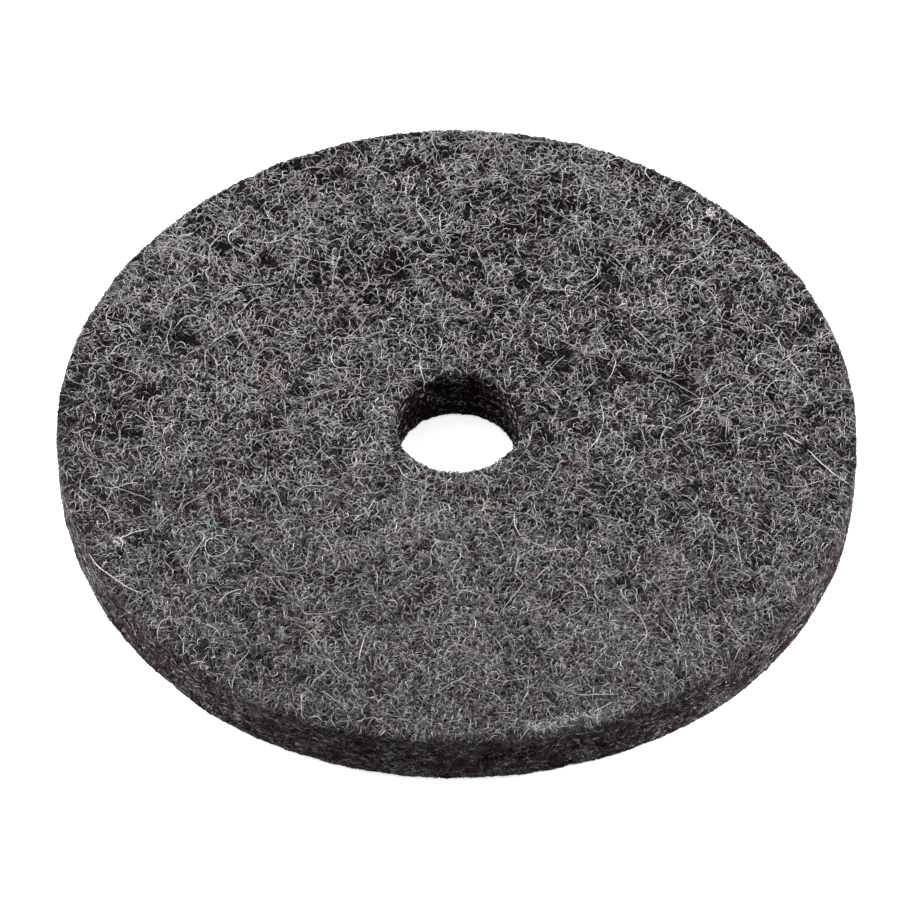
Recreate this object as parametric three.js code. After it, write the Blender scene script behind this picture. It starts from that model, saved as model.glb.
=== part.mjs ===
// A felt polishing wheel: one flat disc of firm pressed wool felt with a plain round arbor hole.
// It lies on its back face. Millimetres, +Z up, and the origin is on the arbor axis in the back face.
import * as THREE from "three";

// Driving dimensions
const WHEEL_DIAMETER = 100;
const BORE_DIAMETER = 16;
const THICKNESS = 8;
const RIM_ROUNDING = 1.2; // felt gives a little under the die, so both of the rim's edges are soft
const BORE_ROUNDING = 0.6;

// How finely the round surfaces are divided
const STEPS_AROUND = 96;
const STEPS_PER_ROUNDING = 4;

const QUARTER_TURN = Math.PI / 2;

const felt = new THREE.MeshStandardMaterial({
  name: "felt",
  color: 0x55514f,
  roughness: 1,
  metalness: 0,
});

// A corner of the section: a quarter circle round (radius, height), starting at the angle start.
function addRoundedCorner(section, radius, height, rounding, start) {
  section.absarc(radius, height, rounding, start, start + QUARTER_TURN, false);
}

// The wheel's section right of its axis, as (radius, height) points, anticlockwise and closed on itself.
function wheelSection() {
  const bore = BORE_DIAMETER / 2 + BORE_ROUNDING;
  const rim = WHEEL_DIAMETER / 2 - RIM_ROUNDING;
  const section = new THREE.Path();
  addRoundedCorner(section, bore, BORE_ROUNDING, BORE_ROUNDING, 2 * QUARTER_TURN);
  addRoundedCorner(section, rim, RIM_ROUNDING, RIM_ROUNDING, 3 * QUARTER_TURN);
  addRoundedCorner(section, rim, THICKNESS - RIM_ROUNDING, RIM_ROUNDING, 0);
  addRoundedCorner(section, bore, THICKNESS - BORE_ROUNDING, BORE_ROUNDING, QUARTER_TURN);
  section.closePath();
  return section.getPoints(STEPS_PER_ROUNDING / 2); // an arc takes two steps for each one asked for
}

// LatheGeometry turns the section about its own Y axis, so a quarter turn about X stands that axis up.
function makeFeltDisc() {
  const disc = new THREE.Mesh(new THREE.LatheGeometry(wheelSection(), STEPS_AROUND), felt);
  disc.name = "felt_disc";
  disc.rotation.x = QUARTER_TURN;
  return disc;
}

const wheel = new THREE.Group();
wheel.name = "felt_polishing_wheel";
wheel.add(makeFeltDisc());

export default wheel;
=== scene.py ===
"""The looks of the felt polishing wheel: a core of pressed wool felt, and the wool fibres that lie on it.

Lengths are in millimetres until a mesh is made. The wheel lies on its back face, with its axis on Z.
A place on the felt is given by the distance out from the axis along its surface, the angle round the axis,
and the lift off the surface. fold() turns the first and the last into a radius and a height.
"""

import math
from typing import NamedTuple

import bpy
import numpy as np
from mathutils import Matrix, Vector

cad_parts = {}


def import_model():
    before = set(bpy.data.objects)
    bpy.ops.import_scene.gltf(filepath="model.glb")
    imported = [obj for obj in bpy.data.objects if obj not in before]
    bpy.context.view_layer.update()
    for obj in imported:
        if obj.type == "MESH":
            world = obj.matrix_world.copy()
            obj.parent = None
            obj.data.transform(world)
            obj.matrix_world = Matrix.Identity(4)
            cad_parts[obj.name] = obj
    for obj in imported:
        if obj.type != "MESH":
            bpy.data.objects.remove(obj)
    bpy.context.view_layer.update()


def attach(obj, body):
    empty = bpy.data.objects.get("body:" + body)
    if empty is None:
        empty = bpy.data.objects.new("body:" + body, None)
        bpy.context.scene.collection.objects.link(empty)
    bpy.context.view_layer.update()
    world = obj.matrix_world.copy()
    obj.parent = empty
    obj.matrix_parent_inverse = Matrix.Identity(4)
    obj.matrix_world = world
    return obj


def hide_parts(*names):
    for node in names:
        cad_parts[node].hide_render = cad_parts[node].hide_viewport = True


MM = 0.001
TURN = 2 * math.pi
QUARTER = math.pi / 2
GOLDEN = (math.sqrt(5) - 1) / 2
SEED = 20

# The wheel, from the CAD solid
RADIUS = 50.0
BORE = 8.0
THICKNESS = 8.0

# The core stays a little inside the CAD solid. The fleece of fibres fills the rest, and stands a little proud
FACE_FLEECE = 0.45
BACK_FLEECE = 0.15
WALL_FLEECE = 0.12
PROUD = 0.10
PROUD_IN_BORE = 0.15
CORE_TOP = THICKNESS + PROUD - FACE_FLEECE
CORE_RADIUS = RADIUS + PROUD - WALL_FLEECE
CORE_BORE = BORE - PROUD_IN_BORE + WALL_FLEECE
RIM_ROUND = 0.60
BORE_ROUND = 0.30

# Where the rounded edges of the core start on its face, and end on its wall, measured along the surface
RIM_START = CORE_RADIUS - RIM_ROUND
RIM_END = RIM_START + RIM_ROUND * QUARTER
BORE_START = CORE_BORE + BORE_ROUND
BORE_END = BORE_START - BORE_ROUND * QUARTER

# The rim's edge and the bore's: where each starts, its rounding and its wall's radius, and 1 for a wall that
# faces outward or -1 for one that faces the axis
EDGES = ((RIM_START, RIM_ROUND, CORE_RADIUS, 1), (BORE_START, BORE_ROUND, CORE_BORE, -1))

LOWEST = 0.10  # the core and the middle line of a fibre come no lower, so that all stays over the floor

# The core's mesh
STEPS_AROUND = 640
STEPS_ROUND = 3
STEP_FACE = 0.95
STEP_WALL = 0.4

# A random field is a sum of waves, whose lengths are these shares of the field's size
FIELD_WAVES = 36
FIELD_LENGTHS = (0.6, 1.8)

# How a field is drawn out along x, y and z: on the cut walls, along the felt's layers or up and down
ALONG_LAYERS = (4, 4, 1)
UP_THE_WALL = (1, 1, 4)

# How far the surface rises and falls, and over what distance
LUMP_HEIGHT = 0.05
LUMP_SIZE = 7.0
PILL_HEIGHT = 0.035
PILL_SIZE = 1.7
OUTLINE_WAVE = 0.06
OUTLINE_SIZE = 9.0
STREAK_HEIGHT = 0.03
STREAK_SIZE = 0.9
BORE_EVENNESS = 0.5  # the relief of the bore, as a share of the rim's
BORE_TAPER = 0.4  # the bore is this much narrower, in radius, at the back

# How the rim was cut out of round: how many lobes go round it, how high they are in mm, and the angle in
# degrees that the first of them points to, times that number of lobes
LOBES = ((1, 0.30, -70), (2, 0.15, 15), (3, 0.12, -140), (4, 0.10, -130), (5, 0.10, 130))

# A fibre is a thin closed tube
FIBRE_SIDES = 3  # so that one triangle closes either end
FIBRE_TAPER = 0.75  # how much of its width a fibre loses at its ends
CURL_LASTS = 3.0  # mm along a fibre over which its curvature changes
PICK_CHANCE = 0.3  # how much of the choice of its wool is left to chance
MOST_TRIANGLES = 190_000  # in one piece
TINY = 1e-9  # added to a length before a division by it

# The wools in the blend: linear colour
WOOLS = {
    "black_wool": (0.0055, 0.0042, 0.0046),
    "charcoal_wool": (0.0165, 0.0140, 0.0150),
    "plum_wool": (0.073, 0.039, 0.046),
    "slate_wool": (0.080, 0.094, 0.104),
    "iron_wool": (0.074, 0.069, 0.070),
    "grey_wool": (0.190, 0.181, 0.182),
    "warm_wool": (0.390, 0.350, 0.335),
    "cool_wool": (0.350, 0.385, 0.390),
    "pale_wool": (0.430, 0.415, 0.416),
    "white_wool": (0.660, 0.650, 0.635),
}

# How the wools take the light
WOOL_ROUGHNESS = 0.8
WOOL_SHEEN_ROUGHNESS = 0.45
MOST_SPECULAR = 0.25
MOST_SHEEN = 0.12
SHEEN_SHARE = 0.4  # the sheen's weight, and
SHEEN_BRIGHTER = 2.0  # its tint, as shares of the wool's own colour

# The core's colours, in pairs that it goes between
# The dark of the faces is partly the felt's own colour and partly painted shade at the bottom of the fleece
CORE_DARK_AND_SHADE = ((0.011, 0.009, 0.010), (0.022, 0.013, 0.014))
CORE_LIGHT = ((0.070, 0.067, 0.066), (0.055, 0.066, 0.076))
CORE_RIM = ((0.011, 0.008, 0.009), (0.052, 0.034, 0.039))
CORE_RIM_THREAD = (0.110, 0.096, 0.100)
# The bore's colours are darker than the rim's: painted shade in the hole
CORE_BORE_SHADE = ((0.006, 0.004, 0.005), (0.030, 0.022, 0.024))
CORE_SPECULAR = 0.02
CORE_ROUGHNESS = (1.0, 0.85)  # off the threads, and on them
CORE_BUMP = 0.08
CORE_BUMP_STRENGTH = 0.8

# The core's threads, from coarse to fine: how many there are to a mm, how much of their noise's range they
# take up, and how curly they are
THREADS = ((0.8, 0.035, 0.6), (1.5, 0.05, 0.5), (2.6, 0.07, 0.4))
RIM_THREADS = 0.5  # how strong they are on the rim

# The core's patches and streaks: how many there are to a mm
CLOUDS = 0.16
DARK_TINTS = 0.20
LIGHT_TINTS = 0.13
STREAKS = 1.5
STREAK_SHAPE = (0.8, 0.8, 1.9)  # closer together up the wall than along it

WHITE = (1.0, 1.0, 1.0, 1.0)

# The sky: its strength where it is brightest and dimmest, where it starts to brighten, and which way
SKY_BRIGHT = 1.02
SKY_DIM = 0.24
SKY_FROM = -0.45
SKY_TILT = (0.0, 0.5, 0.85)

# The softboxes, each a disc that shines at the wheel: its place and its size in metres, and its power in W
SOFTBOXES = {
    "key": ((-0.35, 0.40, 1.0), 0.40, 4.0),
    "left": ((-0.95, 0.35, 0.42), 0.60, 19.0),
    "right": ((1.00, 0.25, 0.42), 0.60, 22.0),
}

# The floor, in metres and linear greys
FLOOR_REACH = 3.0
FLOOR_WHITE = 0.93
FLOOR_GLOW = 0.66

# The camera, in radians and millimetres
ELEVATION = math.radians(50.4)
ROLL = math.radians(0.47)
DISTANCE = 778.5
LENS = 244.8
SENSOR = 36.0
NEAREST_SEEN = 10.0
AIM = (-0.15, -5.66, THICKNESS)


# ---------------------------------------------------------------- random fields


def random_field(rng, size, stretch=(1, 1, 1)):
    """A smooth random field with a mean of 0 and a spread of 1, as a function of points in millimetres."""
    direction = rng.normal(size=(FIELD_WAVES, 3))
    direction /= np.linalg.norm(direction, axis=1)[:, None]
    length = size * rng.uniform(*FIELD_LENGTHS, FIELD_WAVES)
    wave = direction * (TURN / length)[:, None] / np.array(stretch)
    phase = rng.uniform(0, TURN, FIELD_WAVES)

    def value(points):
        return np.cos(points @ wave.T + phase).sum(-1) * math.sqrt(2 / FIELD_WAVES)

    return value


# ---------------------------------------------------------------- the shape of the felt


def fold(out, lift):
    """The radius, and the height over the face, of points on the surface or over it.

    out is how far they lie from the axis along the surface, and lift how far off the surface, both in mm. The
    surface is the flat face, then a rounded edge, then a wall, at the rim and at the bore.
    """
    radius = np.array(out, float)
    height = np.array(lift, float)

    for start, rounding, wall, outward in EDGES:
        turned = outward * (out - start) / rounding
        on_round = (turned > 0) & (turned <= QUARTER)
        on_wall = turned > QUARTER
        radius = np.where(on_round, start + outward * (rounding + lift) * np.sin(turned), radius)
        height = np.where(on_round, (rounding + lift) * np.cos(turned) - rounding, height)
        radius = np.where(on_wall, wall + outward * lift, radius)
        height = np.where(on_wall, -rounding * (1 + turned - QUARTER), height)
    return radius, height


class Felt:
    """The felt's surface, with its lumps."""

    def __init__(self, rng):
        self.lumps = random_field(rng, LUMP_SIZE)
        self.pills = random_field(rng, PILL_SIZE)
        self.outline = random_field(rng, OUTLINE_SIZE, UP_THE_WALL)
        self.streaks = random_field(rng, STREAK_SIZE, ALONG_LAYERS)

    def relief(self, points, out, wallness):
        """How far the surface stands proud of its plain shape at some points.

        wallness is 0 on a face and 1 on a cut wall.
        """
        face = LUMP_HEIGHT * self.lumps(points) + PILL_HEIGHT * self.pills(points)
        cut = STREAK_HEIGHT * (self.streaks(points) + self.pills(points))
        wall = (OUTLINE_WAVE * self.outline(points) + cut) * np.where(out < BORE_START, BORE_EVENNESS, 1)
        return face * (1 - wallness) + wall * wallness

    def place(self, out, angle, depth, top=True):
        """Points in millimetres, from places on the felt.

        depth is 0 on the core and 1 on top of the fleece. The places are on the front face and down the walls
        from there, or on the back face and up the walls if top is False.
        """
        level, up, fleece = (CORE_TOP, 1, FACE_FLEECE) if top else (BACK_FLEECE, -1, BACK_FLEECE)
        plain = self._point(*fold(out, np.zeros_like(out)), angle, level, up)
        beyond = np.maximum((out - RIM_START) / RIM_ROUND, (BORE_START - out) / BORE_ROUND)
        wallness = np.clip(beyond / QUARTER, 0, 1)
        lift = depth * (fleece + (WALL_FLEECE - fleece) * wallness) + self.relief(plain, out, wallness)
        return self._point(*fold(out, lift), angle, level, up)

    @staticmethod
    def _point(radius, height, angle, level, up):
        """A point of the disc as it was cut: out of round, and narrower in the bore towards the back."""
        out_of_round = sum(size * np.cos(lobes * angle - math.radians(turn)) for lobes, size, turn in LOBES)
        z = np.maximum(level + up * height, LOWEST)
        narrowing = BORE_TAPER * (1 - z / THICKNESS) * (RADIUS - radius) / (RADIUS - BORE)
        radius = radius + out_of_round * (radius / RADIUS) ** 2 - narrowing
        return np.stack([radius * np.cos(angle), radius * np.sin(angle), z], axis=-1)


# ---------------------------------------------------------------- meshes


def new_object(name, points, faces, material):
    """An object from points in millimetres and an array of faces, all with as many corners."""
    mesh = bpy.data.meshes.new(name)
    count, corners = faces.shape
    mesh.vertices.add(len(points))
    mesh.vertices.foreach_set("co", (points * MM).astype(np.float32).ravel())
    mesh.loops.add(count * corners)
    mesh.loops.foreach_set("vertex_index", faces.astype(np.int32).ravel())
    mesh.polygons.add(count)
    mesh.polygons.foreach_set("loop_start", np.arange(0, count * corners, corners, dtype=np.int32))
    mesh.polygons.foreach_set("use_smooth", np.ones(count, bool))
    mesh.materials.append(material)
    mesh.update()
    mesh.validate()
    piece = bpy.data.objects.new(name, mesh)
    bpy.context.scene.collection.objects.link(piece)
    return piece


def closed_grid(rows, columns):
    """The quads of a grid that is closed both ways, with rows * columns points."""
    row, column = np.meshgrid(np.arange(rows), np.arange(columns), indexing="ij")
    next_row = (row + 1) % rows
    next_column = (column + 1) % columns
    quads = [
        row * columns + column,
        next_row * columns + column,
        next_row * columns + next_column,
        row * columns + next_column,
    ]
    return np.stack(quads, axis=-1).reshape(-1, 4)


def steps(start, stop, size):
    """Evenly spaced numbers from start to just before stop, about size apart."""
    return np.linspace(start, stop, max(2, round(abs(stop - start) / size)), endpoint=False)


def make_core(felt, material):
    """The core: the disc's section, carried round the axis, with the felt's relief."""
    faces = [
        steps(BORE_END, BORE_START, (BORE_START - BORE_END) / STEPS_ROUND),
        steps(BORE_START, RIM_START, STEP_FACE),
        steps(RIM_START, RIM_END, (RIM_END - RIM_START) / STEPS_ROUND),
    ]
    rim_wall = CORE_TOP - BACK_FLEECE - 2 * RIM_ROUND
    bore_wall = CORE_TOP - BACK_FLEECE - 2 * BORE_ROUND
    down_bore = steps(BORE_END - bore_wall, BORE_END, STEP_WALL)
    down_rim = steps(RIM_END, RIM_END + rim_wall, STEP_WALL)
    angle = np.arange(STEPS_AROUND) * TURN / STEPS_AROUND

    def carry_round(outs, top):
        """Rows of points round the wheel, each at one distance along its surface."""
        out, around = np.meshgrid(outs, angle, indexing="ij")
        return felt.place(out, around, np.zeros_like(out), top)

    # Up the bore, over the face and down the rim, then round the rim's lower edge and over the back
    front = carry_round(np.concatenate([down_bore, *faces, down_rim]), top=True)
    rim_corner = carry_round([RIM_END], top=False)
    back = carry_round(np.concatenate(faces)[1:], top=False)
    points = np.concatenate([front, rim_corner, back[::-1]])
    quads = closed_grid(len(points), STEPS_AROUND)
    return new_object("felt_core", points.reshape(-1, 3), quads, material)


# ---------------------------------------------------------------- fibres


def even_spread(rng, count):
    """Triples of numbers from 0 to 1, whose first two are spread as evenly as the seeds of a sunflower are.

    The third is spread evenly too, with some chance in it.
    """
    number = np.arange(count) + 0.5
    around = number * GOLDEN + rng.uniform()
    pick = number * math.sqrt(2) + rng.uniform(0, PICK_CHANCE, count)
    return np.stack([around, number / count, pick], axis=1) % 1.0


def curly_paths(rng, count, step_count, length, curl):
    """Random curly lines in a plane, as (count, step_count + 1, 2), each with its middle at the origin.

    length and curl hold one number for each line. curl is its usual curvature, per mm.
    """
    step = length / step_count
    keep = np.exp(-step / CURL_LASTS)
    change = np.sqrt(1 - keep * keep)
    curvature = np.empty((count, step_count))
    curvature[:, 0] = rng.normal(0, curl)
    for k in range(1, step_count):
        curvature[:, k] = keep * curvature[:, k - 1] + change * rng.normal(0, curl)
    heading = rng.uniform(0, TURN, count)[:, None] + np.cumsum(curvature * step[:, None], axis=1)
    moves = np.stack([np.cos(heading), np.sin(heading)], axis=-1) * step[:, None, None]
    path = np.concatenate([np.zeros((count, 1, 2)), np.cumsum(moves, axis=1)], axis=1)
    return path - path.mean(axis=1, keepdims=True)


def unit(vectors):
    """The vectors, each 1 long."""
    return vectors / (np.linalg.norm(vectors, axis=-1, keepdims=True) + TINY)


def tube_points(paths, width, normals):
    """The points of rings round some paths, closer in at both ends, as (count, stations, sides, 3)."""
    ahead = np.empty_like(paths)
    ahead[:, 1:-1] = paths[:, 2:] - paths[:, :-2]
    ahead[:, 0] = paths[:, 1] - paths[:, 0]
    ahead[:, -1] = paths[:, -1] - paths[:, -2]
    ahead = unit(ahead)
    across = unit(np.cross(ahead, normals))
    upward = np.cross(across, ahead)
    along = np.linspace(-1, 1, paths.shape[1])
    taper = (1 - FIBRE_TAPER * np.abs(along) ** 4)[None, :, None, None]
    turn = np.arange(FIBRE_SIDES) * TURN / FIBRE_SIDES + QUARTER
    ring = (
        across[:, :, None] * np.cos(turn)[None, None, :, None]
        + upward[:, :, None] * np.sin(turn)[None, None, :, None]
    )
    return paths[:, :, None] + ring * taper * (width / 2)[:, None, None, None]


def tube_faces(count, stations):
    """The triangles of count closed tubes, each of so many rings, with a cap at either end."""
    first = np.arange(count)[:, None, None] * stations * FIBRE_SIDES
    station = np.arange(stations - 1)[None, :, None] * FIBRE_SIDES
    side = np.arange(FIBRE_SIDES)[None, None, :]
    next_side = (side + 1) % FIBRE_SIDES
    here = first + station + side
    beside = first + station + next_side
    corners = [
        np.stack([here, here + FIBRE_SIDES, beside + FIBRE_SIDES], axis=-1),
        np.stack([here, beside + FIBRE_SIDES, beside], axis=-1),
    ]
    walls = np.stack(corners, axis=-2).reshape(count, -1, 3)
    start_cap = first[:, 0] + np.array([0, 1, 2])
    end_cap = first[:, 0] + (stations - 1) * FIBRE_SIDES + np.array([0, 2, 1])
    faces = np.concatenate([walls, start_cap[:, None], end_cap[:, None]], axis=1)
    return faces.reshape(-1, 3)


class Layer(NamedTuple):
    """One layer of fibres. Ranges are (least, most) in mm, and for depth in shares of the fleece's depth.

    The regions are the face, its front half, the rim, the lip at the rim's upper edge, the hem at its lower
    one, the bore and the back. steps is how many straight bits a fibre has. curl is the usual curvature, per
    mm. shares is how much of each wool the layer has. A layer with spots, as x and y in mm on the face, lies
    scattered round those alone.
    """

    region: str
    count: int
    steps: int
    length: tuple
    width: tuple
    curl: float
    depth: tuple
    shares: dict
    spots: tuple = ()
    scatter: float = 0.0


class Kemp(NamedTuple):
    """A stiff white hair on the face: its middle and length in mm, heading in degrees and bend per mm."""

    x: float
    y: float
    heading: float
    length: float
    bend: float


def mix_of(**shares):
    """How much of each wool a layer has."""
    return {f"{name}_wool": share for name, share in shares.items()}


# The wools of each kind of layer. The deeper a layer lies, the darker its wool: partly the felt's own blend,
# partly painted shade in the depths of the fleece
SHADED_UNDERCOAT = mix_of(black=5, charcoal=5, plum=1.5, slate=0.6)
MIDDLE = mix_of(black=2, charcoal=3.5, plum=1.2, slate=0.7, iron=4, grey=3.5)
SURFACE = mix_of(
    black=1.6, charcoal=3.4, plum=0.5, slate=0.3, iron=1.2, grey=3.4, warm=0.7, cool=0.7, pale=6.6, white=0.8,
)
MATTED = mix_of(charcoal=1, iron=4, grey=7, warm=0.5, cool=0.5, pale=1.0)
LONG = mix_of(grey=2, pale=5, white=1.5)
KNOT = mix_of(white=1)
TUFT = mix_of(slate=1.0, grey=1, pale=3, white=1)
CUT = mix_of(black=5.5, charcoal=1.8, plum=6, iron=2.2, grey=5, pale=2.3)
EDGE = mix_of(charcoal=2, plum=1.5, iron=3, grey=4, pale=0.8)
# The bore's wool is darker than the rim's: painted shade in the hole
SHADED_BORE = mix_of(black=7, charcoal=3, plum=1.2, iron=1.2, grey=1.4, pale=0.35)
UNDERSIDE = mix_of(charcoal=3, plum=1, slate=0.6, iron=4, grey=3, pale=1)

# What sets this wheel apart: two white knots, a pale tuft at the edge, and a few kemps
KNOT_SPOTS = ((32.8, 34.9), (-41.8, -20.0))
TUFT_SPOTS = ((9.8, -48.2), (11.5, -47.9), (13.2, -47.4), (14.8, -46.9), (16.4, -46.4), (18.4, -45.6))
KEMPS = (
    Kemp(46.2, -7.1, -49, 7.7, 0.03),
    Kemp(42.0, -2.4, -38, 3.0, -0.05),
    Kemp(-42.2, -24.9, -46, 9.6, 0.07),
    Kemp(-39.9, -18.6, 25, 4.0, -0.15),
)
KEMP_WIDTH = 0.17
KEMP_STEPS = 16

LAYERS = [
    # The undercoat's dark wool is partly painted shade under the fibres above it
    Layer("face", 4500, 6, (2.0, 4.5), (0.12, 0.17), 1.0, (0.00, 0.20), SHADED_UNDERCOAT),
    Layer("face", 19000, 5, (1.3, 2.8), (0.080, 0.11), 1.6, (0.15, 0.60), MIDDLE),
    Layer("face", 29000, 7, (1.2, 3.1), (0.076, 0.110), 1.5, (0.40, 0.90), SURFACE),
    Layer("front", 37000, 6, (1.1, 2.8), (0.070, 0.095), 1.5, (0.60, 1.00), MATTED),
    Layer("face", 500, 16, (4.5, 11.0), (0.070, 0.100), 0.33, (0.90, 1.15), LONG),
    Layer("face", 12, 24, (3.0, 4.5), (0.100, 0.13), 8.0, (1.00, 1.20), KNOT, KNOT_SPOTS, 0.08),
    Layer("face", 330, 6, (0.8, 2.0), (0.075, 0.10), 1.5, (0.80, 1.15), TUFT, TUFT_SPOTS, 0.55),
    Layer("lip", 5000, 4, (0.7, 1.8), (0.070, 0.10), 1.6, (0.2, 1.0), MIDDLE),
    Layer("rim", 31000, 4, (0.4, 1.6), (0.085, 0.14), 1.8, (0.0, 0.8), CUT),
    Layer("hem", 4000, 3, (0.5, 1.3), (0.080, 0.11), 1.6, (0.2, 0.9), EDGE),
    Layer("bore", 3200, 3, (0.4, 1.1), (0.085, 0.12), 1.6, (0.0, 0.7), SHADED_BORE),
    Layer("back", 6500, 6, (1.8, 3.8), (0.11, 0.15), 1.2, (0.1, 0.8), UNDERSIDE),
]
FLAT_REGIONS = ("face", "front", "back")
CUT_REGIONS = ("rim", "hem", "bore")

STRAY = 0.27  # mm that a fibre strays from its even place
CURL_RANGE = (0.4, 1.6)  # how much a fibre's curl differs from the layer's
SWAY = 0.50  # how far a fibre weaves up and down, as a share of the fleece's depth
SWAY_TURNS = (0.7, 2.2)  # how many times it does so, from end to end
TUCK = 0.35  # how far its ends go down, as another share
WALL_LAY = 0.85  # how much of a fibre's height in its plane is kept on a wall, where it lies along the layers
FACE_OVER_EDGE = 0.25  # how much of a rounded edge the fibres of a face cover
WALL_OVER_EDGE = 0.80  # and those of a wall
LIP = 0.9  # mm of the rim's wall, below its rounded edge, that the lip's fibres reach
HEM = 0.9  # and the hem's, above the lower one

MATTED_IN_FRONT = 1.2  # the share of the front's own layer laid at the very front; none is at the middle
MATTED_PATCHES = 0.35  # how much that share differs from patch to patch
NOT_LAID = -1

# The patches of light and dark wool: their size in mm, and how strongly they part the light from the dark
PATCHES = {"broad": (14.0, 0.07), "middling": (5.0, 0.18), "small": (2.2, 0.15), "fine": (0.9, 0.18)}
# The same of the layers that the cut walls show, and how much more strongly the fine patches part them there
CUT_LAYERS = (0.9, 0.38)
CUT_FINE = 0.15

# The patches of tinted wool: their sizes in mm, and how strongly the tinted wools keep to them
TINT_SIZES = (6.0, 2.5)
TINT_PATCHES = 0.95
TINT_PATCHES_CUT = 0.4

# Wools far from this grey are rarer where the wheel is matted evenly: from the least, behind, to 1 in front
MIDDLE_GREY = 0.08
LEAST_EVEN = -0.5


class Blend:
    """Which wool lies where: patches of light and dark wool, and of the warm and the cool tinted wools.

    The front of the wheel is matted more evenly than the back, with less of the darkest and the palest wool.
    The rim is as even as that all round, and the bore is hardly even.
    """

    def __init__(self, rng):
        self.patches = {name: random_field(rng, size) for name, (size, _) in PATCHES.items()}
        self.layers = random_field(rng, CUT_LAYERS[0], ALONG_LAYERS)
        warm, cool = [[random_field(rng, size) for size in TINT_SIZES] for _ in range(2)]
        self.tints = {"plum_wool": warm, "warm_wool": warm, "slate_wool": cool, "cool_wool": cool}
        self.paleness = {name: math.log(colour[1] / MIDDLE_GREY) for name, colour in WOOLS.items()}

    def choose(self, points, picks, shares, cut):
        """The index into shares of the wool of the fibre at each point. picks are numbers from 0 to 1."""
        light = sum(strength * self.patches[name](points) for name, (_, strength) in PATCHES.items())
        evenness = np.clip(-points[:, 1] / RADIUS, LEAST_EVEN, 1)
        if cut:
            light += CUT_LAYERS[1] * self.layers(points) + CUT_FINE * self.patches["fine"](points)
            evenness = np.hypot(points[:, 0], points[:, 1]) / RADIUS
        tinting = TINT_PATCHES_CUT if cut else TINT_PATCHES
        weights = []
        for name, share in shares.items():
            pull = self.paleness[name] * light - evenness * abs(self.paleness[name])
            if name in self.tints:
                pull = pull + tinting * sum(tint(points) for tint in self.tints[name])
            weights.append(share * np.exp(pull))
        sums = np.cumsum(weights, axis=0)
        return (picks * sums[-1] > sums).sum(0)


def lay_kemps(felt):
    """The paths of the kemps, as points in millimetres."""
    paths = []
    for kemp in KEMPS:
        along = np.linspace(-0.5, 0.5, KEMP_STEPS + 1) * kemp.length
        heading = math.radians(kemp.heading) + kemp.bend * along
        step = kemp.length / KEMP_STEPS
        x = np.cumsum(np.cos(heading) * step)
        y = np.cumsum(np.sin(heading) * step)
        x += kemp.x - x.mean()
        y += kemp.y - y.mean()
        paths.append(felt.place(np.hypot(x, y), np.arctan2(y, x), np.ones_like(x)))
    return np.array(paths)


def lay_fibres(rng, felt, layer, places):
    """The paths of a layer's fibres, as points in millimetres. places are pairs of numbers from 0 to 1."""
    count = layer.count
    length = rng.uniform(*layer.length, count)
    curl = layer.curl * rng.uniform(*CURL_RANGE, count)
    flat = curly_paths(rng, count, layer.steps, length, curl) + rng.normal(0, STRAY, (count, 1, 2))
    along = np.linspace(-1, 1, layer.steps + 1)
    turns = rng.uniform(*SWAY_TURNS, count)[:, None] * TURN / 2
    sway = np.sin(turns * along + rng.uniform(0, TURN, count)[:, None])
    depth = rng.uniform(*layer.depth, count)[:, None] + SWAY * sway - TUCK * along**4
    angle = places[:, :1] * TURN
    across = places[:, 1:]
    if layer.region not in FLAT_REGIONS:
        return lay_on_wall(felt, layer.region, flat, depth, angle, across)
    x, y = np.moveaxis(flat + middles(rng, layer, angle, across)[:, None], -1, 0)
    return felt.place(np.hypot(x, y), np.arctan2(y, x), depth, top=layer.region != "back")


def middles(rng, layer, angle, across):
    """Where the middles of a layer's fibres lie on a face: all over it, or round the layer's spots."""
    if layer.spots:
        spots = np.array(layer.spots)[np.arange(layer.count) % len(layer.spots)]
        return spots + rng.normal(0, layer.scatter, (layer.count, 2))
    nearest = BORE_START - FACE_OVER_EDGE * (BORE_START - BORE_END)
    furthest = RIM_START + FACE_OVER_EDGE * (RIM_END - RIM_START)
    radius = np.sqrt(nearest**2 + (furthest**2 - nearest**2) * across)
    return np.concatenate([radius * np.cos(angle), radius * np.sin(angle)], axis=1)


def lay_on_wall(felt, region, flat, depth, angle, across):
    """Fibres on the rim or in the bore: their paths as points in millimetres, from their paths in a plane."""
    on_rim = region != "bore"
    edge = RIM_ROUND if on_rim else BORE_ROUND
    wall = CORE_TOP - BACK_FLEECE - 2 * edge
    beyond = WALL_OVER_EDGE * edge * QUARTER
    least = wall - HEM if region == "hem" else -beyond
    most = LIP if region == "lip" else wall + beyond
    down = least + (most - least) * across + flat[..., 1] * WALL_LAY
    angle = angle + flat[..., 0] / (CORE_RADIUS if on_rim else CORE_BORE)
    start, outward = (RIM_END, 1) if on_rim else (BORE_END, -1)
    upper = felt.place(start + outward * down, angle, depth)
    lower = felt.place(start + outward * (wall - down), angle, depth, top=False)
    return np.where(down[..., None] < wall / 2, upper, lower)


def surface_normals(paths, region):
    """The way out of the felt at each point of the fibres of a region."""
    normals = np.zeros_like(paths)
    if region in FLAT_REGIONS:
        normals[..., 2] = -1 if region == "back" else 1
    else:
        normals[..., :2] = paths[..., :2] * (-1 if region == "bore" else 1)
    return normals


def choose_wools(rng, blend, layer, middle, picks):
    """Which of the layer's wools each fibre is of, by its index, or that it isn't laid."""
    wool = blend.choose(middle, picks, layer.shares, layer.region in CUT_REGIONS)
    if layer.region == "front":
        patchy = 1 + MATTED_PATCHES * blend.patches["middling"](middle)
        laid = MATTED_IN_FRONT * -middle[:, 1] / RADIUS * patchy
        wool[rng.uniform(size=layer.count) > laid] = NOT_LAID
    return wool


def fibre_piece(name, paths, width, region, material):
    """One object with a fibre along each path."""
    points = tube_points(paths, width, surface_normals(paths, region))
    faces = tube_faces(*paths.shape[:2])
    return new_object(name, points.reshape(-1, 3), faces, material)


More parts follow.
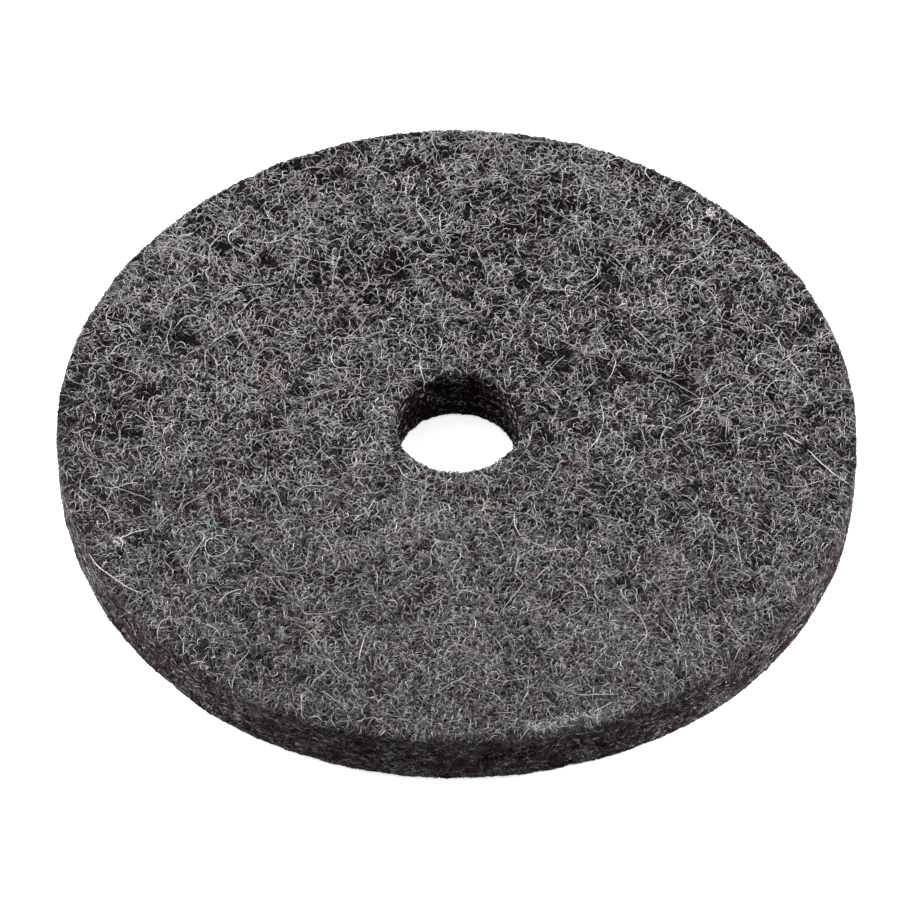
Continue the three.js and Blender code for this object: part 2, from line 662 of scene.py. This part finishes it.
def make_fibres(felt, materials):
    """All the fibres, each layer's gathered by wool into pieces that aren't too large."""
    rng = np.random.default_rng(SEED + 1)
    blend = Blend(rng)
    pieces = []
    for number, layer in enumerate(LAYERS, 1):
        spread = even_spread(rng, layer.count)
        paths = lay_fibres(rng, felt, layer, spread[:, :2])
        wool = choose_wools(rng, blend, layer, paths[:, layer.steps // 2], spread[:, 2])
        width = rng.uniform(*layer.width, layer.count)
        most = MOST_TRIANGLES // (layer.steps * FIBRE_SIDES * 2 + 2)
        for index, name in enumerate(layer.shares):
            chosen = np.flatnonzero(wool == index)
            for part, start in enumerate(range(0, len(chosen), most), 1):
                some = chosen[start:start + most]
                label = f"{layer.region}{number}_{name}_{part}"
                piece = fibre_piece(label, paths[some], width[some], layer.region, materials[name])
                pieces.append(piece)
    kemps = lay_kemps(felt)
    width = np.full(len(kemps), KEMP_WIDTH)
    pieces.append(fibre_piece("kemps_white_wool", kemps, width, "face", materials["white_wool"]))
    return pieces


# ---------------------------------------------------------------- materials


def opaque(colour):
    """A colour as a socket takes it."""
    return (*colour, 1.0)


class Nodes:
    """A material, and short ways to add nodes to it."""

    def __init__(self, name):
        self.material = bpy.data.materials.new(name)
        self.material.use_nodes = True
        self.tree = self.material.node_tree
        self.shader = self.tree.nodes["Principled BSDF"]

    def add(self, kind, settings=None, **inputs):
        """A node of a kind. Its inputs are given by name, with _ for a space, as values or other outputs."""
        node = self.tree.nodes.new("ShaderNode" + kind)
        for key, value in (settings or {}).items():
            setattr(node, key, value)
        for key, value in inputs.items():
            self.put(node.inputs[key.replace("_", " ")], value)
        return node

    def put(self, socket, value):
        """Gives a socket a value, or links another node's output to it."""
        if isinstance(value, bpy.types.NodeSocket):
            self.tree.links.new(value, socket)
        else:
            socket.default_value = value

    def operate(self, kind, operation, values):
        """A node that does an operation on values or outputs."""
        node = self.add(kind, {"operation": operation})
        for socket, value in zip(node.inputs, values):
            self.put(socket, value)
        return node

    def math(self, operation, *values):
        """The result of an operation on numbers."""
        return self.operate("Math", operation, values).outputs["Value"]

    def vector_math(self, operation, *values):
        """The vector that an operation on vectors gives."""
        return self.operate("VectorMath", operation, values).outputs["Vector"]

    def length(self, vector):
        """How long a vector is."""
        return self.operate("VectorMath", "LENGTH", [vector]).outputs["Value"]

    def spread(self, value, low, high, to_low=0.0, to_high=1.0):
        """value taken smoothly from low..high to to_low..to_high."""
        node = self.add("MapRange", {"interpolation_type": "SMOOTHSTEP"}, Value=value)
        for name, number in zip(("From Min", "From Max", "To Min", "To Max"), (low, high, to_low, to_high)):
            self.put(node.inputs[name], number)
        return node.outputs["Result"]

    def mix(self, factor, first, second):
        """first where factor is 0, and second where it is 1. Both are linear colours, or outputs."""
        node = self.add("Mix", {"data_type": "RGBA"})
        self.put(node.inputs[0], factor)
        for socket, colour in zip(node.inputs[6:8], (first, second)):
            self.put(socket, opaque(colour) if isinstance(colour, tuple) else colour)
        return node.outputs[2]

    def noise(self, where, scale, detail, distortion=0.0):
        """Smooth noise from 0 to 1, with scale lumps to a unit of where."""
        node = self.add("TexNoise", Vector=where, Scale=scale, Detail=detail, Distortion=distortion)
        return node.outputs[0]


def threads(nodes, where, scale, width, distortion):
    """Thin curly lines, where a noise crosses its middle value: 1 on a line and 0 off it."""
    noise = nodes.noise(where, scale, detail=1.0, distortion=distortion)
    off = nodes.math("ABSOLUTE", nodes.math("SUBTRACT", noise, 0.5))
    return nodes.spread(off, 0.0, width, 1.0, 0.0)


def all_threads(nodes, where):
    """Three sorts of threads over each other, from coarse to fine."""
    coarse, middle, fine = (threads(nodes, where, *kind) for kind in THREADS)
    return nodes.math("MAXIMUM", coarse, nodes.math("MAXIMUM", middle, fine))


def face_colour(nodes, where, matted):
    """The faces' colour: light threads on a dark ground, each in patches of two tints. The dark ground is
    partly the felt's own colour and partly painted shade at the bottom of the fleece.
    """
    cloud = nodes.spread(nodes.noise(where, CLOUDS, 4.0), 0.35, 0.65, 0.25, 1.0)
    dark = nodes.mix(nodes.spread(nodes.noise(where, DARK_TINTS, 3.0), 0.45, 0.62), *CORE_DARK_AND_SHADE)
    light = nodes.mix(nodes.spread(nodes.noise(where, LIGHT_TINTS, 2.0), 0.5, 0.65), *CORE_LIGHT)
    return nodes.mix(nodes.math("MULTIPLY", matted, cloud), dark, light)


def wall_colour(nodes, streaks, matted, in_bore):
    """The cut walls' colour: streaks along the layers, darker in the bore as painted shade, and threads on
    the rim.
    """
    rim = nodes.mix(streaks, *CORE_RIM)
    rim = nodes.mix(nodes.math("MULTIPLY", matted, RIM_THREADS), rim, CORE_RIM_THREAD)
    # The bore gets its own darker colours: painted shade in the hole
    return nodes.mix(in_bore, rim, nodes.mix(streaks, *CORE_BORE_SHADE))


def core_material():
    """Pressed wool felt: threads in patches of light and dark wool, darker and in layers where it is cut. Its
    dark ground is partly painted shade, and the bore's extra darkness is painted shade.
    """
    nodes = Nodes("pressed_felt")
    where = nodes.vector_math("MULTIPLY", nodes.add("TexCoord").outputs["Object"], (1 / MM, 1 / MM, 1 / MM))
    level = nodes.vector_math("MULTIPLY", where, (1.0, 1.0, 0.0))
    radius = nodes.length(level)
    on_rim = nodes.spread(radius, RIM_START - 0.1, RIM_START + 0.3)
    in_bore = nodes.spread(radius, CORE_BORE, BORE_START + 0.1, 1.0, 0.0)
    cut = nodes.math("MAXIMUM", on_rim, in_bore)

    matted = all_threads(nodes, where)
    drawn_out = nodes.vector_math("MULTIPLY", where, STREAK_SHAPE)
    streaks = nodes.spread(nodes.noise(drawn_out, STREAKS, 3.0), 0.38, 0.66)
    face = face_colour(nodes, where, matted)
    walls = wall_colour(nodes, streaks, matted, in_bore)
    nodes.put(nodes.shader.inputs["Base Color"], nodes.mix(cut, face, walls))

    relief = nodes.math("ADD", matted, nodes.math("MULTIPLY", streaks, cut))
    bump = nodes.add("Bump", Height=relief, Distance=CORE_BUMP * MM, Strength=CORE_BUMP_STRENGTH)
    nodes.put(nodes.shader.inputs["Normal"], bump.outputs[0])
    nodes.put(nodes.shader.inputs["Roughness"], nodes.spread(matted, 0.0, 1.0, *CORE_ROUGHNESS))
    nodes.put(nodes.shader.inputs["Specular IOR Level"], CORE_SPECULAR)
    return nodes.material


def wool_material(name):
    """One wool of the blend: a matt fibre, and on the paler ones the soft sheen of its scales."""
    nodes = Nodes(name)
    colour = WOOLS[name]
    sheen = tuple(min(1.0, SHEEN_BRIGHTER * part) for part in colour)
    nodes.put(nodes.shader.inputs["Base Color"], opaque(colour))
    nodes.put(nodes.shader.inputs["Roughness"], WOOL_ROUGHNESS)
    nodes.put(nodes.shader.inputs["Specular IOR Level"], min(MOST_SPECULAR, colour[0]))
    nodes.put(nodes.shader.inputs["Sheen Weight"], min(MOST_SHEEN, SHEEN_SHARE * colour[0]))
    nodes.put(nodes.shader.inputs["Sheen Roughness"], WOOL_SHEEN_ROUGHNESS)
    nodes.put(nodes.shader.inputs["Sheen Tint"], opaque(sheen))
    return nodes.material


# ---------------------------------------------------------------- the stage


def make_floor():
    """A white table, bright of itself, so that the shadow on it is faint. It lights nothing from below."""
    mesh = bpy.data.meshes.new("floor")
    corners = [(-1, -1, 0), (1, -1, 0), (1, 1, 0), (-1, 1, 0)]
    points = [(x * FLOOR_REACH, y * FLOOR_REACH, z) for x, y, z in corners]
    mesh.from_pydata(points, [], [(0, 1, 2, 3)])
    floor = bpy.data.objects.new("floor", mesh)
    bpy.context.scene.collection.objects.link(floor)
    floor.visible_diffuse = False
    floor.visible_glossy = False
    nodes = Nodes("floor_white")
    nodes.put(nodes.shader.inputs["Base Color"], opaque((FLOOR_WHITE, FLOOR_WHITE, FLOOR_WHITE)))
    nodes.put(nodes.shader.inputs["Roughness"], 1.0)
    nodes.put(nodes.shader.inputs["Specular IOR Level"], 0.0)
    nodes.put(nodes.shader.inputs["Emission Color"], WHITE)
    nodes.put(nodes.shader.inputs["Emission Strength"], FLOOR_GLOW)
    mesh.materials.append(nodes.material)


def make_world():
    """An even sky, brightest overhead and behind, and dim in front. The camera sees it as plain white."""
    world = bpy.data.worlds.new("studio")
    world.use_nodes = True
    tree = world.node_tree
    place = tree.nodes.new("ShaderNodeTexCoord")
    height = tree.nodes.new("ShaderNodeVectorMath")
    height.operation = "DOT_PRODUCT"
    height.inputs[1].default_value = SKY_TILT
    tree.links.new(place.outputs["Generated"], height.inputs[0])
    fade = tree.nodes.new("ShaderNodeMapRange")
    fade.interpolation_type = "SMOOTHSTEP"
    fade.inputs["From Min"].default_value = SKY_FROM
    fade.inputs["To Min"].default_value = SKY_DIM
    fade.inputs["To Max"].default_value = SKY_BRIGHT
    tree.links.new(height.outputs["Value"], fade.inputs["Value"])

    lit = tree.nodes["Background"]
    lit.inputs["Color"].default_value = WHITE
    tree.links.new(fade.outputs["Result"], lit.inputs["Strength"])
    seen = tree.nodes.new("ShaderNodeBackground")
    seen.inputs["Color"].default_value = WHITE
    path = tree.nodes.new("ShaderNodeLightPath")
    either = tree.nodes.new("ShaderNodeMixShader")
    tree.links.new(path.outputs["Is Camera Ray"], either.inputs[0])
    tree.links.new(lit.outputs[0], either.inputs[1])
    tree.links.new(seen.outputs[0], either.inputs[2])
    tree.links.new(either.outputs[0], tree.nodes["World Output"].inputs["Surface"])
    bpy.context.scene.world = world


def add_softbox(name, where, size, power):
    """A round soft light that shines at the wheel."""
    light = bpy.data.lights.new(name, "AREA")
    light.shape = "DISK"
    light.size = size
    light.energy = power
    lamp = bpy.data.objects.new(name, light)
    lamp.location = where
    lamp.rotation_euler = (-Vector(where)).to_track_quat("-Z", "Y").to_euler()
    bpy.context.scene.collection.objects.link(lamp)


def make_light():
    """The sky and the softboxes."""
    make_world()
    for name, softbox in SOFTBOXES.items():
        add_softbox(name, *softbox)
    bpy.context.scene.view_settings.view_transform = "Standard"


def make_camera():
    """The camera: above and in front of the wheel, turned to AIM and rolled a little."""
    centre = Vector((0, 0, THICKNESS * MM))
    back = Vector((0, -math.cos(ELEVATION), math.sin(ELEVATION)))
    spot = centre + back * DISTANCE * MM
    ahead = (Vector(AIM) * MM - spot).normalized()
    right = ahead.cross(Vector((0, 0, 1))).normalized()
    up = right.cross(ahead)
    right, up = (
        right * math.cos(ROLL) + up * math.sin(ROLL),
        up * math.cos(ROLL) - right * math.sin(ROLL),
    )
    data = bpy.data.cameras.new("camera")
    data.lens = LENS
    data.sensor_width = SENSOR
    data.clip_start = NEAREST_SEEN * MM
    camera = bpy.data.objects.new("camera", data)
    bpy.context.scene.collection.objects.link(camera)
    turn = Matrix((right, up, -ahead)).transposed()
    camera.matrix_world = Matrix.Translation(spot) @ turn.to_4x4()
    bpy.context.scene.camera = camera


def main():
    """Loads the frame, sets the stage, and makes the felt in the place of the CAD solid."""
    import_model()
    make_camera()
    make_light()
    make_floor()

    felt = Felt(np.random.default_rng(SEED))
    core = make_core(felt, core_material())
    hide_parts("felt_disc")
    wools = {name: wool_material(name) for name in WOOLS}
    for piece in [core, *make_fibres(felt, wools)]:
        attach(piece, "root")


main()
